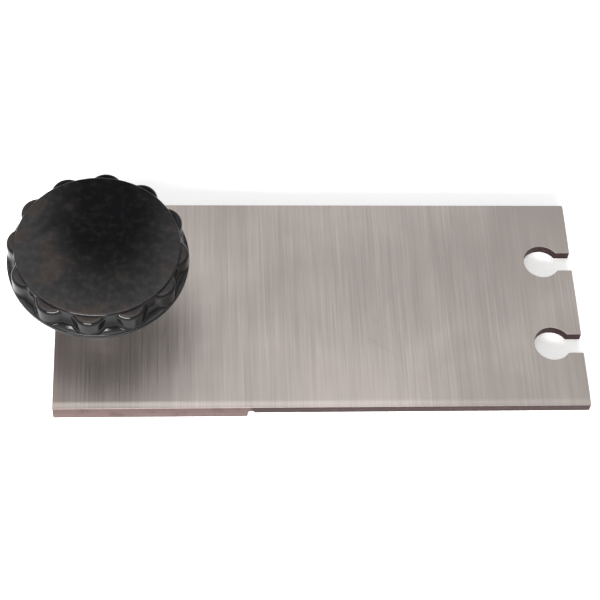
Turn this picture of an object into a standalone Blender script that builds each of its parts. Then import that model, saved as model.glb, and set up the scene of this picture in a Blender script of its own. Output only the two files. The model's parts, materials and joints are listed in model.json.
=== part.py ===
"""Strap cutter plate with a fluted clamping knob.

A steel guide plate, thick under the knob and thin towards two open keyholes. The knob turns an
M10 stud in a flanged nut let into the plate, and the stud presses a swivelling pad down out of a
recess under the thick land. A spring round the stud takes up the slack in the thread.

Metres, +Z up. X runs along the plate towards the keyholes and Y across it. The origin is at the
middle of the whole object's outline, on the surface that the land stands on.
"""
from math import acos, cos, pi, radians, sin, sqrt

import bmesh
import bpy
from mathutils import Matrix, Vector

MM = 0.001

# Clearance between faces that meet, and the merge distance for modifiers.
GAP = 0.3 * MM
MERGE = 0.00001

# Guide plate.
PLATE_LENGTH = 190.5 * MM
PLATE_DEPTH = 86.6 * MM
LAND_LENGTH = 68.3 * MM
LAND_THICKNESS = 6.35 * MM
THIN_THICKNESS = 3.65 * MM
EDGE_BREAK = 0.25 * MM
SHOULDER_ROUND = 0.6 * MM
RELIEF_RADIUS = 1.15 * MM

# Keyholes, open to the right-hand end.
KEYHOLE_SPACING = 35.4 * MM
KEYHOLE_INSET = 10.95 * MM
KEYHOLE_RADIUS = 6.7 * MM
NECK_WIDTH = 7.55 * MM
NECK_FILLET = 0.8 * MM

# Screw axis, and the stud whose thread drives the pad.
AXIS_INSET = 16.3 * MM
STUD_DIAMETER = 10.0 * MM
STUD_BREAK = 0.8 * MM
STUD_LEAD = 0.3 * MM
NECK_DIAMETER = 6.0 * MM
NECK_GROOVE = 0.3 * MM
STUD_END_SPACE = 0.5 * MM

# Swivelling pad under the land, its clip and its facing.
PAD_REACH = 1.0 * MM
PAD_THICKNESS = 2.4 * MM
PAD_LIFT = 0.3 * MM
PAD_SIDE_CLEARANCE = 0.7 * MM
PAD_EDGE = 0.4 * MM
FACING_THICKNESS = 0.8 * MM
FACING_MARGIN = 0.7 * MM
FACING_EDGE = 0.2 * MM
CLIP_WIDTH = 2.5 * MM
CLIP_THICKNESS = 0.7 * MM
CLIP_EDGE = 0.05 * MM
CLIP_OPENING = radians(70.0)

# Flanged nut and its four countersunk screws.
FLANGE_THICKNESS = 3.0 * MM
FLANGE_MARGIN = 0.45 * MM
FLANGE_EDGE = 0.4 * MM
SPIGOT_WALL = 1.7 * MM
SCREW_COUNT = 4
SCREW_DIAMETER = 3.0 * MM
SCREW_POINT = 0.5 * MM
SCREW_FLOOR = 2.8 * MM
SCREW_LAND = 0.95 * MM
SCREW_HEAD_DIAMETER = 5.4 * MM
SCREW_HEAD_HEIGHT = 1.5 * MM
SCREW_HEAD_RIM = 0.2 * MM
SCREW_SOCKET_DIAMETER = 2.0 * MM
SCREW_SOCKET_DEPTH = 1.0 * MM

# Spring round the stud.
SPRING_HEIGHT = 11.6 * MM
SPRING_WIRE = 1.3 * MM
SPRING_SLACK = 1.4 * MM
SPRING_TURNS = 3.5
SPRING_FLAT_TURNS = 0.75
SPRING_FLAT_SPACE = 0.03 * MM
SPRING_POINTS_PER_TURN = 18

# Washers and jam nut below the knob's hub.
SEAT_MARGIN = 2.3 * MM
SEAT_THICKNESS = 1.0 * MM
SEAT_EDGE = 0.2 * MM
NUT_WALL = 3.2 * MM
NUT_THICKNESS = 4.5 * MM
NUT_CORNER_DROP = 0.42 * MM
NUT_BORE_BREAK = 0.5 * MM
LOCK_WASHER_WIDTH = 3.0 * MM
LOCK_WASHER_THICKNESS = 1.2 * MM
LOCK_WASHER_SPLIT = 1.0 * MM
LOCK_WASHER_LEAN = radians(28.0)

# Knob.
HUB_LENGTH = 5.0 * MM
HUB_WALL = 3.2 * MM
HUB_EDGE = 0.4 * MM
HUB_ROOT = 1.0 * MM
HEAD_HEIGHT = 10.2 * MM
DISC_SETBACK = 2.95 * MM
DISC_RISE = 1.15 * MM
DISC_EDGE = 0.5 * MM
SKIRT_DIAMETER = 63.0 * MM
SKIRT_HEIGHT = 2.0 * MM
SKIRT_EDGE = 0.5 * MM
FLARE_POWER = 2.2
FLARE_STEPS = 6
LOBE_COUNT = 12
LOBE_SETBACK = 0.15 * MM
FLUTE_WIDTH = 1.2 * MM
LOBE_ROUND = 1.1 * MM
LOBE_TURN = radians(-5.1)
KNOB_WALL = 3.2 * MM
KNOB_ROOF = 5.0 * MM

# Brass insert moulded into the hub.
INSERT_WALL = 2.2 * MM
INSERT_COVER = 3.0 * MM
INSERT_ROOF = 1.2 * MM
INSERT_GROOVE = 0.8 * MM
INSERT_GROOVE_WIDTH = 2.4 * MM

# Facets on round work.
FINE = 72
ROUND = 36
SMALL = 20
ARC = 40
FILLET = 4

# How far a cutting shape runs past the face that it cuts.
PAST = 1.0 * MM

# Places that follow from the sizes.
OVERHANG = SKIRT_DIAMETER / 2 - AXIS_INSET
LEFT_X = -(PLATE_LENGTH + OVERHANG) / 2 + OVERHANG
RIGHT_X = LEFT_X + PLATE_LENGTH
SHOULDER_X = LEFT_X + LAND_LENGTH
AXIS_X = LEFT_X + AXIS_INSET
PLATE_TOP = LAND_THICKNESS
THIN_BOTTOM = PLATE_TOP - THIN_THICKNESS
STUD_BORE_RADIUS = STUD_DIAMETER / 2 + GAP
FACING_TOP = PAD_LIFT + FACING_THICKNESS
PAD_BOTTOM = FACING_TOP + GAP
PAD_TOP = PAD_BOTTOM + PAD_THICKNESS
RECESS_ROOF = PAD_TOP + GAP
CLIP_BOTTOM = PAD_BOTTOM + GAP
CLIP_TOP = CLIP_BOTTOM + CLIP_THICKNESS
FLANGE_BOTTOM = PLATE_TOP + GAP
FLANGE_TOP = FLANGE_BOTTOM + FLANGE_THICKNESS
SPRING_BOTTOM = FLANGE_TOP + GAP
SPRING_TOP = SPRING_BOTTOM + SPRING_HEIGHT
SEAT_BOTTOM = SPRING_TOP + GAP
NUT_BOTTOM = SEAT_BOTTOM + SEAT_THICKNESS + GAP
LOCK_WASHER_BOTTOM = NUT_BOTTOM + NUT_THICKNESS + GAP
HUB_BOTTOM = LOCK_WASHER_BOTTOM + LOCK_WASHER_THICKNESS + GAP
SKIRT_BOTTOM = HUB_BOTTOM + HUB_LENGTH
SKIRT_TOP = SKIRT_BOTTOM + SKIRT_HEIGHT
KNOB_TOP = SKIRT_BOTTOM + HEAD_HEIGHT
LOBE_TOP = KNOB_TOP - DISC_RISE
INSERT_BOTTOM = HUB_BOTTOM + GAP
INSERT_TOP = KNOB_TOP - INSERT_COVER
STUD_TOP = INSERT_TOP - INSERT_ROOF - STUD_END_SPACE

# Radii that follow from the sizes.
NECK_RADIUS = NECK_DIAMETER / 2
CLIP_RADIUS = NECK_RADIUS - NECK_GROOVE + CLIP_WIDTH
SPIGOT_RADIUS = STUD_BORE_RADIUS + SPIGOT_WALL
PAD_DIAMETER = 2 * (SPIGOT_RADIUS + PAD_REACH)
PAD_RADIUS = PAD_DIAMETER / 2
RECESS_RADIUS = PAD_RADIUS + PAD_SIDE_CLEARANCE
SCREW_HOLE_RADIUS = SCREW_DIAMETER / 2 + GAP
SCREW_CIRCLE_RADIUS = RECESS_RADIUS + SCREW_LAND + SCREW_HOLE_RADIUS
FLANGE_RADIUS = SCREW_CIRCLE_RADIUS + SCREW_HEAD_DIAMETER / 2 + FLANGE_MARGIN
SPRING_RADIUS = STUD_DIAMETER / 2 + SPRING_SLACK + SPRING_WIRE / 2
SEAT_RADIUS = SPRING_RADIUS + SPRING_WIRE / 2 + SEAT_MARGIN
NUT_FLAT_RADIUS = STUD_BORE_RADIUS + NUT_WALL
LOCK_WASHER_RADIUS = STUD_BORE_RADIUS + LOCK_WASHER_WIDTH
INSERT_RADIUS = STUD_BORE_RADIUS + INSERT_WALL
POCKET_RADIUS = INSERT_RADIUS + GAP
HUB_RADIUS = POCKET_RADIUS + HUB_WALL
SKIRT_RADIUS = SKIRT_DIAMETER / 2
DISC_RADIUS = SKIRT_RADIUS - DISC_SETBACK
LOBE_REACH = SKIRT_RADIUS - LOBE_SETBACK
LOBE_SPREAD = sin(pi / LOBE_COUNT)
LOBE_RADIUS = (LOBE_REACH * LOBE_SPREAD - FLUTE_WIDTH / 2) / (1 + LOBE_SPREAD)

COLLECTION_NAME = "strap_cutter"
CUTTERS_NAME = "cutters"


# ---------------------------------------------------------------- scene and materials

def clear_scene():
    for thing in list(bpy.data.objects):
        bpy.data.objects.remove(thing, do_unlink=True)


def make_collection(name):
    collection = bpy.data.collections.new(name)
    bpy.context.scene.collection.children.link(collection)
    return collection


def make_material(name, colour, roughness, metallic):
    material = bpy.data.materials.new(name)
    material.use_nodes = True
    shader = material.node_tree.nodes["Principled BSDF"]
    shader.inputs["Base Color"].default_value = (*colour, 1.0)
    shader.inputs["Roughness"].default_value = roughness
    shader.inputs["Metallic"].default_value = metallic
    return material


def make_frame(name, collection, location):
    """An empty on a joint's axis, for the pieces that move about it."""
    frame = bpy.data.objects.new(name, None)
    frame.location = location
    collection.objects.link(frame)
    return frame


# ---------------------------------------------------------------- shapes

def link_mesh(name, mesh, collection, material=None, location=(0.0, 0.0, 0.0), parent=None):
    thing = bpy.data.objects.new(name, mesh)
    thing.location = location
    thing.parent = parent
    collection.objects.link(thing)
    if material is not None:
        mesh.materials.append(material)
    return thing


def mesh_from(name, bm):
    bmesh.ops.recalc_face_normals(bm, faces=bm.faces)
    mesh = bpy.data.meshes.new(name)
    bm.to_mesh(mesh)
    bm.free()
    return mesh


def turned(name, profile, steps, collection, material, location=(0.0, 0.0, 0.0), parent=None):
    """A solid turned about its own Z axis; the profile runs down the outer side."""
    mesh = bpy.data.meshes.new(name)
    points = [(radius, 0.0, height) for radius, height in profile]
    edges = [(index, index + 1) for index in range(len(points) - 1)]
    mesh.from_pydata(points, edges, [])
    thing = link_mesh(name, mesh, collection, material, location, parent)
    screw = thing.modifiers.new("turn", "SCREW")
    screw.axis = "Z"
    screw.angle = 2 * pi
    screw.steps = steps
    screw.render_steps = steps
    screw.use_merge_vertices = True
    screw.merge_threshold = MERGE
    screw.use_smooth_shade = True
    return thing


def add_drum(bm, radius, bottom, top, segments, centre=(0.0, 0.0), top_radius=None):
    """Adds an upright cylinder, or a cone if it has a top radius, to a bmesh."""
    place = Matrix.Translation((centre[0], centre[1], (bottom + top) / 2))
    upper = radius if top_radius is None else top_radius
    return bmesh.ops.create_cone(bm, cap_ends=True, segments=segments, radius1=radius,
                                 radius2=upper, depth=top - bottom, matrix=place)["verts"]


def drum_mesh(name, radius, bottom, top, segments, centre=(0.0, 0.0)):
    bm = bmesh.new()
    add_drum(bm, radius, bottom, top, segments, centre)
    return mesh_from(name, bm)


def add_boolean(thing, tool, operation="DIFFERENCE"):
    step = thing.modifiers.new(tool.name, "BOOLEAN")
    step.operation = operation
    step.solver = "EXACT"
    step.object = tool


def use_tool(thing, name, mesh, cutters, location=(0.0, 0.0, 0.0), operation="DIFFERENCE"):
    """Cuts, joins or trims a piece with a mesh that stands in the piece's own space."""
    tool = link_mesh(name, mesh, cutters, None, location, thing.parent)
    tool.hide_render = True
    tool.display_type = "WIRE"
    add_boolean(thing, tool, operation)


def arc(centre, radius, start, end, count):
    """Points along an arc from start to end, both included."""
    step = (end - start) / count
    return [(centre[0] + radius * cos(start + step * index),
             centre[1] + radius * sin(start + step * index))
            for index in range(count + 1)]


def outline_mesh(name, points, thickness, edge, collection):
    """A flat plate of the given outline about the plane Z = 0, its rim broken by the edge."""
    curve = bpy.data.curves.new(name, "CURVE")
    curve.dimensions = "2D"
    curve.fill_mode = "BOTH"
    curve.extrude = thickness / 2 - edge
    curve.bevel_depth = edge
    curve.bevel_resolution = 1
    curve.offset = -edge
    spline = curve.splines.new("POLY")
    spline.points.add(len(points) - 1)
    for slot, (x, y) in zip(spline.points, points):
        slot.co = (x, y, 0.0, 1.0)
    spline.use_cyclic_u = True
    outline = bpy.data.objects.new(name + "_outline", curve)
    collection.objects.link(outline)
    bpy.context.view_layer.update()
    graph = bpy.context.evaluated_depsgraph_get()
    mesh = bpy.data.meshes.new_from_object(outline.evaluated_get(graph))
    bpy.data.objects.remove(outline, do_unlink=True)
    bpy.data.curves.remove(curve)
    bm = bmesh.new()
    bm.from_mesh(mesh)
    bmesh.ops.remove_doubles(bm, verts=bm.verts, dist=MERGE)
    bm.to_mesh(mesh)
    bm.free()
    mesh.name = name
    return mesh


# ---------------------------------------------------------------- guide plate

def keyhole_points(centre_y):
    """One keyhole's outline, entered from the right-hand end at its lower neck edge."""
    centre = (RIGHT_X - KEYHOLE_INSET, centre_y)
    half_neck = NECK_WIDTH / 2
    reach = KEYHOLE_RADIUS + NECK_FILLET
    fillet_y = half_neck + NECK_FILLET
    fillet_x = centre[0] + sqrt(reach ** 2 - fillet_y ** 2)
    lean = acos((fillet_x - centre[0]) / reach)
    low_fillet = (fillet_x, centre_y - fillet_y)
    high_fillet = (fillet_x, centre_y + fillet_y)
    points = [(RIGHT_X, centre_y - half_neck)]
    points += arc(low_fillet, NECK_FILLET, pi / 2, pi - lean, FILLET)
    points += arc(centre, KEYHOLE_RADIUS, 2 * pi - lean, lean, ARC)[1:-1]
    points += arc(high_fillet, NECK_FILLET, pi + lean, 1.5 * pi, FILLET)
    points.append((RIGHT_X, centre_y + half_neck))
    return points


def plate_outline():
    half_depth = PLATE_DEPTH / 2
    points = [(LEFT_X, -half_depth), (RIGHT_X, -half_depth)]
    for side in (-1, 1):
        points += keyhole_points(side * KEYHOLE_SPACING / 2)
    points += [(RIGHT_X, half_depth), (LEFT_X, half_depth)]
    return points


def under_step_section():
    """Section of what is milled away under the thin part, with the groove at its root."""
    rounding = (SHOULDER_X - SHOULDER_ROUND, SHOULDER_ROUND)
    groove = (SHOULDER_X + RELIEF_RADIUS, THIN_BOTTOM)
    points = [(RIGHT_X + PAST, -PAST), (RIGHT_X + PAST, THIN_BOTTOM)]
    points += arc(groove, RELIEF_RADIUS, 0.0, pi, 2 * FILLET)
    points += arc(rounding, SHOULDER_ROUND, 0.0, -pi / 2, FILLET)
    points.append((rounding[0], -PAST))
    return points


def screw_places():
    """Centres of the flange screws, counted from the stud's axis."""
    turns = [pi / 4 + 2 * pi * index / SCREW_COUNT for index in range(SCREW_COUNT)]
    return [(SCREW_CIRCLE_RADIUS * cos(turn), SCREW_CIRCLE_RADIUS * sin(turn)) for turn in turns]


def make_guide_plate(parts, cutters, steel):
    mesh = outline_mesh("guide_plate", plate_outline(), LAND_THICKNESS, EDGE_BREAK, parts)
    plate = link_mesh("guide_plate", mesh, parts, steel, (0.0, 0.0, LAND_THICKNESS / 2))

    span = PLATE_DEPTH + 2 * PAST
    section = outline_mesh("cut_under_step", under_step_section(), span, 0.0, parts)
    section.transform(Matrix.Rotation(pi / 2, 4, "X"))
    use_tool(plate, "cut_under_step", section, cutters)

    axis = (AXIS_X, 0.0, 0.0)
    recess = drum_mesh("cut_pad_recess", RECESS_RADIUS, -PAST, RECESS_ROOF, ROUND)
    use_tool(plate, "cut_pad_recess", recess, cutters, axis)
    bore = drum_mesh("cut_spigot_bore", SPIGOT_RADIUS + GAP, RECESS_ROOF - PAST,
                     PLATE_TOP + PAST, ROUND)
    use_tool(plate, "cut_spigot_bore", bore, cutters, axis)

    bm = bmesh.new()
    for place in screw_places():
        add_drum(bm, SCREW_HOLE_RADIUS, SCREW_FLOOR - GAP, PLATE_TOP + PAST, SMALL, place)
    use_tool(plate, "cut_screw_holes", mesh_from("cut_screw_holes", bm), cutters, axis)


# ---------------------------------------------------------------- flanged nut and its screws

def make_flange_nut(parts, cutters, steel):
    axis = (AXIS_X, 0.0, 0.0)
    profile = [(STUD_BORE_RADIUS, FLANGE_TOP), (FLANGE_RADIUS - FLANGE_EDGE, FLANGE_TOP),
               (FLANGE_RADIUS, FLANGE_TOP - FLANGE_EDGE), (FLANGE_RADIUS, FLANGE_BOTTOM),
               (SPIGOT_RADIUS, FLANGE_BOTTOM), (SPIGOT_RADIUS, RECESS_ROOF),
               (STUD_BORE_RADIUS, RECESS_ROOF), (STUD_BORE_RADIUS, FLANGE_TOP)]
    nut = turned("flange_nut", profile, ROUND, parts, steel, axis)

    head = SCREW_HEAD_DIAMETER / 2 + GAP
    sink = SCREW_HEAD_HEIGHT + GAP
    slope = (head - SCREW_HOLE_RADIUS) / SCREW_HEAD_HEIGHT
    mouth = SCREW_HOLE_RADIUS + slope * (sink + PAST)
    shafts = bmesh.new()
    sinks = bmesh.new()
    for place in screw_places():
        add_drum(shafts, SCREW_HOLE_RADIUS, FLANGE_BOTTOM - PAST, FLANGE_TOP + PAST, SMALL, place)
        add_drum(sinks, SCREW_HOLE_RADIUS, FLANGE_TOP - sink, FLANGE_TOP + PAST, SMALL, place,
                 top_radius=mouth)
    use_tool(nut, "cut_shafts", mesh_from("cut_shafts", shafts), cutters, axis)
    use_tool(nut, "cut_countersinks", mesh_from("cut_countersinks", sinks), cutters, axis)


def make_flange_screws(parts, cutters, steel):
    """Socket screws that hold the flanged nut to the plate."""
    shaft = SCREW_DIAMETER / 2
    head = SCREW_HEAD_DIAMETER / 2
    length = FLANGE_TOP - SCREW_FLOOR
    profile = [(0.0, 0.0), (head, 0.0), (head, -SCREW_HEAD_RIM), (shaft, -SCREW_HEAD_HEIGHT),
               (shaft, SCREW_POINT - length), (shaft - SCREW_POINT, -length), (0.0, -length)]
    socket_radius = SCREW_SOCKET_DIAMETER / 2
    for index, (x, y) in enumerate(screw_places(), start=1):
        place = (AXIS_X + x, y, FLANGE_TOP)
        screw = turned(f"flange_screw_{index}", profile, SMALL, parts, steel, place)
        socket = drum_mesh(f"cut_socket_{index}", socket_radius, -SCREW_SOCKET_DEPTH, PAST, 6)
        use_tool(screw, f"cut_socket_{index}", socket, cutters, place)


# ---------------------------------------------------------------- pad, facing and clip

def make_swivel_pad(parts, steel, pad_axis):
    bore = NECK_RADIUS + GAP
    clip_recess = CLIP_RADIUS + GAP
    clip_roof = CLIP_TOP + GAP
    profile = [(bore, PAD_TOP), (PAD_RADIUS - PAD_EDGE, PAD_TOP),
               (PAD_RADIUS, PAD_TOP - PAD_EDGE), (PAD_RADIUS, PAD_BOTTOM + PAD_EDGE),
               (PAD_RADIUS - PAD_EDGE, PAD_BOTTOM), (clip_recess, PAD_BOTTOM),
               (clip_recess, clip_roof), (bore, clip_roof), (bore, PAD_TOP)]
    turned("swivel_pad", profile, ROUND, parts, steel, parent=pad_axis)


def make_pad_facing(parts, leather, pad_axis):
    radius = PAD_RADIUS - FACING_MARGIN
    profile = [(0.0, FACING_TOP), (radius, FACING_TOP), (radius, PAD_LIFT + FACING_EDGE),
               (radius - FACING_EDGE, PAD_LIFT), (0.0, PAD_LIFT)]
    turned("pad_facing", profile, ROUND, parts, leather, parent=pad_axis)


def make_pad_clip(parts, steel, knob_axis):
    """An open ring that grips the groove in the stud's neck and carries the pad."""
    half = CLIP_OPENING / 2
    points = arc((0.0, 0.0), CLIP_RADIUS, half, 2 * pi - half, ROUND)
    points += arc((0.0, 0.0), CLIP_RADIUS - CLIP_WIDTH, 2 * pi - half, half, SMALL)
    mesh = outline_mesh("pad_clip", points, CLIP_THICKNESS, CLIP_EDGE, parts)
    place = (0.0, 0.0, CLIP_BOTTOM + CLIP_THICKNESS / 2)
    link_mesh("pad_clip", mesh, parts, steel, place, knob_axis)


# ---------------------------------------------------------------- stud, spring, nut and washers

def make_clamp_stud(parts, steel, knob_axis):
    radius = STUD_DIAMETER / 2
    groove = NECK_RADIUS - NECK_GROOVE - GAP
    tip = PAD_BOTTOM
    profile = [(0.0, STUD_TOP), (radius - STUD_BREAK, STUD_TOP), (radius, STUD_TOP - STUD_BREAK),
               (radius, RECESS_ROOF + STUD_LEAD), (radius - STUD_LEAD, RECESS_ROOF),
               (NECK_RADIUS, RECESS_ROOF), (NECK_RADIUS, CLIP_TOP + GAP),
               (groove, CLIP_TOP + GAP), (groove, tip), (0.0, tip)]
    turned("clamp_stud", profile, ROUND, parts, steel, parent=knob_axis)


def spring_height_at(turn, turns):
    """Height of the wire's middle: flat end turns, and an even climb between them."""
    low = SPRING_BOTTOM + SPRING_WIRE / 2
    high = SPRING_TOP - SPRING_WIRE / 2
    climb = SPRING_WIRE + SPRING_FLAT_SPACE
    rise = climb * SPRING_FLAT_TURNS
    if turn < SPRING_FLAT_TURNS:
        return low + climb * turn
    if turn > turns - SPRING_FLAT_TURNS:
        return high - climb * (turns - turn)
    share = (turn - SPRING_FLAT_TURNS) / SPRING_TURNS
    return low + rise + share * (high - low - 2 * rise)


def make_spring(parts, spring_steel):
    """A round-wire spring between the flanged nut and the seat washer."""
    turns = SPRING_TURNS + 2 * SPRING_FLAT_TURNS
    count = int(turns * SPRING_POINTS_PER_TURN)
    curve = bpy.data.curves.new("stud_spring", "CURVE")
    curve.dimensions = "3D"
    curve.bevel_depth = SPRING_WIRE / 2
    curve.bevel_resolution = 2
    curve.use_fill_caps = True
    curve.render_resolution_u = 0
    curve.materials.append(spring_steel)
    spline = curve.splines.new("POLY")
    spline.points.add(count)
    for index, slot in enumerate(spline.points):
        turn = turns * index / count
        angle = 2 * pi * turn
        slot.co = (SPRING_RADIUS * cos(angle), SPRING_RADIUS * sin(angle),
                   spring_height_at(turn, turns), 1.0)
    spring = bpy.data.objects.new("stud_spring", curve)
    spring.location = (AXIS_X, 0.0, 0.0)
    parts.objects.link(spring)


def make_spring_seat(parts, steel, knob_axis):
    top = SEAT_BOTTOM + SEAT_THICKNESS
    profile = [(STUD_BORE_RADIUS, top), (SEAT_RADIUS - SEAT_EDGE, top),
               (SEAT_RADIUS, top - SEAT_EDGE), (SEAT_RADIUS, SEAT_BOTTOM + SEAT_EDGE),
               (SEAT_RADIUS - SEAT_EDGE, SEAT_BOTTOM), (STUD_BORE_RADIUS, SEAT_BOTTOM),
               (STUD_BORE_RADIUS, top)]
    turned("spring_seat", profile, ROUND, parts, steel, parent=knob_axis)


def make_jam_nut(parts, cutters, steel, knob_axis):
    """A turned blank trimmed to a hexagon, so that its corners are chamfered on both faces."""
    corner = NUT_FLAT_RADIUS / cos(pi / 6)
    top = NUT_BOTTOM + NUT_THICKNESS
    mouth = STUD_BORE_RADIUS + NUT_BORE_BREAK
    profile = [(mouth, top), (NUT_FLAT_RADIUS, top), (corner, top - NUT_CORNER_DROP),
               (corner, NUT_BOTTOM + NUT_CORNER_DROP), (NUT_FLAT_RADIUS, NUT_BOTTOM),
               (mouth, NUT_BOTTOM), (STUD_BORE_RADIUS, NUT_BOTTOM + NUT_BORE_BREAK),
               (STUD_BORE_RADIUS, top - NUT_BORE_BREAK), (mouth, top)]
    nut = turned("jam_nut", profile, ROUND, parts, steel, parent=knob_axis)
    hexagon = drum_mesh("keep_hexagon", corner, NUT_BOTTOM - PAST, top + PAST, 6)
    use_tool(nut, "keep_hexagon", hexagon, cutters, operation="INTERSECT")


def make_lock_washer(parts, cutters, steel, knob_axis):
    """A flat spring washer with a slanting split."""
    top = LOCK_WASHER_BOTTOM + LOCK_WASHER_THICKNESS
    profile = [(STUD_BORE_RADIUS, top), (LOCK_WASHER_RADIUS, top),
               (LOCK_WASHER_RADIUS, LOCK_WASHER_BOTTOM), (STUD_BORE_RADIUS, LOCK_WASHER_BOTTOM),
               (STUD_BORE_RADIUS, top)]
    washer = turned("lock_washer", profile, ROUND, parts, steel, parent=knob_axis)
    middle = Vector((0.0, -LOCK_WASHER_RADIUS, (LOCK_WASHER_BOTTOM + top) / 2))
    size = Vector((LOCK_WASHER_SPLIT, LOCK_WASHER_RADIUS, LOCK_WASHER_THICKNESS + 2 * PAST))
    place = (Matrix.Translation(middle) @ Matrix.Rotation(LOCK_WASHER_LEAN, 4, "Y")
             @ Matrix.Diagonal((*size, 1.0)))
    bm = bmesh.new()
    bmesh.ops.create_cube(bm, size=1.0, matrix=place)
    use_tool(washer, "cut_split", mesh_from("cut_split", bm), cutters)


# ---------------------------------------------------------------- knob and insert

def wall_radius(height):
    """Radius of the knob's wall between lobes: it flares out to meet the skirt."""
    share = (height - SKIRT_TOP) / (LOBE_TOP - SKIRT_TOP)
    flare = SKIRT_RADIUS - SKIRT_EDGE - DISC_RADIUS
    return DISC_RADIUS + flare * (1 - share) ** FLARE_POWER


def knob_profile():
    """The knob's turned section: disc, flared wall and skirt outside, hollow and hub inside."""
    web = KNOB_TOP - KNOB_ROOF
    points = [(0.0, KNOB_TOP)]
    points += arc((DISC_RADIUS - DISC_EDGE, KNOB_TOP - DISC_EDGE), DISC_EDGE, pi / 2, 0.0, 2)
    for index in range(FLARE_STEPS + 1):
        height = LOBE_TOP - (LOBE_TOP - SKIRT_TOP) * index / FLARE_STEPS
        points.append((wall_radius(height), height))
    points += [(SKIRT_RADIUS, SKIRT_TOP - SKIRT_EDGE), (SKIRT_RADIUS, SKIRT_BOTTOM + SKIRT_EDGE),
               (SKIRT_RADIUS - SKIRT_EDGE, SKIRT_BOTTOM),
               (SKIRT_RADIUS - KNOB_WALL, SKIRT_BOTTOM), (DISC_RADIUS - KNOB_WALL, web),
               (HUB_RADIUS + HUB_ROOT, web), (HUB_RADIUS, web - HUB_ROOT),
               (HUB_RADIUS, HUB_BOTTOM + HUB_EDGE), (HUB_RADIUS - HUB_EDGE, HUB_BOTTOM),
               (POCKET_RADIUS, HUB_BOTTOM), (POCKET_RADIUS, INSERT_TOP + GAP),
               (0.0, INSERT_TOP + GAP)]
    return points


def lobe_mesh():
    """Upright round lobes in a ring, with rounded tops, that end inside the skirt."""
    reach = LOBE_REACH - LOBE_RADIUS
    bottom = (SKIRT_BOTTOM + SKIRT_TOP) / 2
    bm = bmesh.new()
    for index in range(LOBE_COUNT):
        turn = -pi / 2 + LOBE_TURN + 2 * pi * index / LOBE_COUNT
        centre = (reach * cos(turn), reach * sin(turn))
        add_drum(bm, LOBE_RADIUS, bottom, LOBE_TOP, SMALL, centre)
    middle = (bottom + LOBE_TOP) / 2
    rims = [edge for edge in bm.edges if all(vert.co.z > middle for vert in edge.verts)]
    bmesh.ops.bevel(bm, geom=rims, offset=LOBE_ROUND, segments=3, profile=0.5,
                    affect="EDGES", clamp_overlap=True)
    return mesh_from("join_lobes", bm)


def make_knob_body(parts, cutters, moulding, knob_axis):
    knob = turned("knob_body", knob_profile(), FINE, parts, moulding, parent=knob_axis)
    use_tool(knob, "join_lobes", lobe_mesh(), cutters, operation="UNION")


def make_knob_insert(parts, brass, knob_axis):
    """A blind brass bush with a groove that keys it into the moulding."""
    middle = (INSERT_BOTTOM + INSERT_TOP) / 2
    high = middle + INSERT_GROOVE_WIDTH / 2
    low = middle - INSERT_GROOVE_WIDTH / 2
    waist = INSERT_RADIUS - INSERT_GROOVE
    roof = INSERT_TOP - INSERT_ROOF
    profile = [(0.0, INSERT_TOP), (INSERT_RADIUS, INSERT_TOP), (INSERT_RADIUS, high),
               (waist, high), (waist, low), (INSERT_RADIUS, low), (INSERT_RADIUS, INSERT_BOTTOM),
               (STUD_BORE_RADIUS, INSERT_BOTTOM), (STUD_BORE_RADIUS, roof), (0.0, roof)]
    turned("knob_insert", profile, ROUND, parts, brass, parent=knob_axis)


# ---------------------------------------------------------------- the whole object

def main():
    clear_scene()
    parts = make_collection(COLLECTION_NAME)
    cutters = make_collection(CUTTERS_NAME)
    ground_steel = make_material("ground_steel", (0.42, 0.40, 0.38), 0.38, 1.0)
    plain_steel = make_material("plain_steel", (0.50, 0.49, 0.48), 0.35, 1.0)
    dark_steel = make_material("dark_steel", (0.05, 0.05, 0.055), 0.45, 1.0)
    spring_steel = make_material("spring_steel", (0.26, 0.26, 0.27), 0.40, 1.0)
    moulding = make_material("black_moulding", (0.012, 0.012, 0.013), 0.18, 0.0)
    brass = make_material("brass", (0.62, 0.45, 0.18), 0.30, 1.0)
    leather = make_material("leather", (0.20, 0.10, 0.05), 0.80, 0.0)

    # The pad slides along the stud's axis, and the knob turns about it.
    pad_axis = make_frame("pad_axis", parts, (AXIS_X, 0.0, 0.0))
    knob_axis = make_frame("knob_axis", parts, (AXIS_X, 0.0, 0.0))

    make_guide_plate(parts, cutters, ground_steel)
    make_flange_nut(parts, cutters, plain_steel)
    make_flange_screws(parts, cutters, dark_steel)
    make_spring(parts, spring_steel)

    make_swivel_pad(parts, plain_steel, pad_axis)
    make_pad_facing(parts, leather, pad_axis)

    make_pad_clip(parts, dark_steel, knob_axis)
    make_clamp_stud(parts, plain_steel, knob_axis)
    make_spring_seat(parts, plain_steel, knob_axis)
    make_jam_nut(parts, cutters, plain_steel, knob_axis)
    make_lock_washer(parts, cutters, dark_steel, knob_axis)
    make_knob_insert(parts, brass, knob_axis)
    make_knob_body(parts, cutters, moulding, knob_axis)


main()
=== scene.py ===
# Strap cutter guide plate with a fluted clamping knob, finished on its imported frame.
# Metres throughout; X runs along the plate to the keyholes, Z is up.
import json
import math

import bmesh
import bpy
from mathutils import Matrix, Vector, noise

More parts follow.
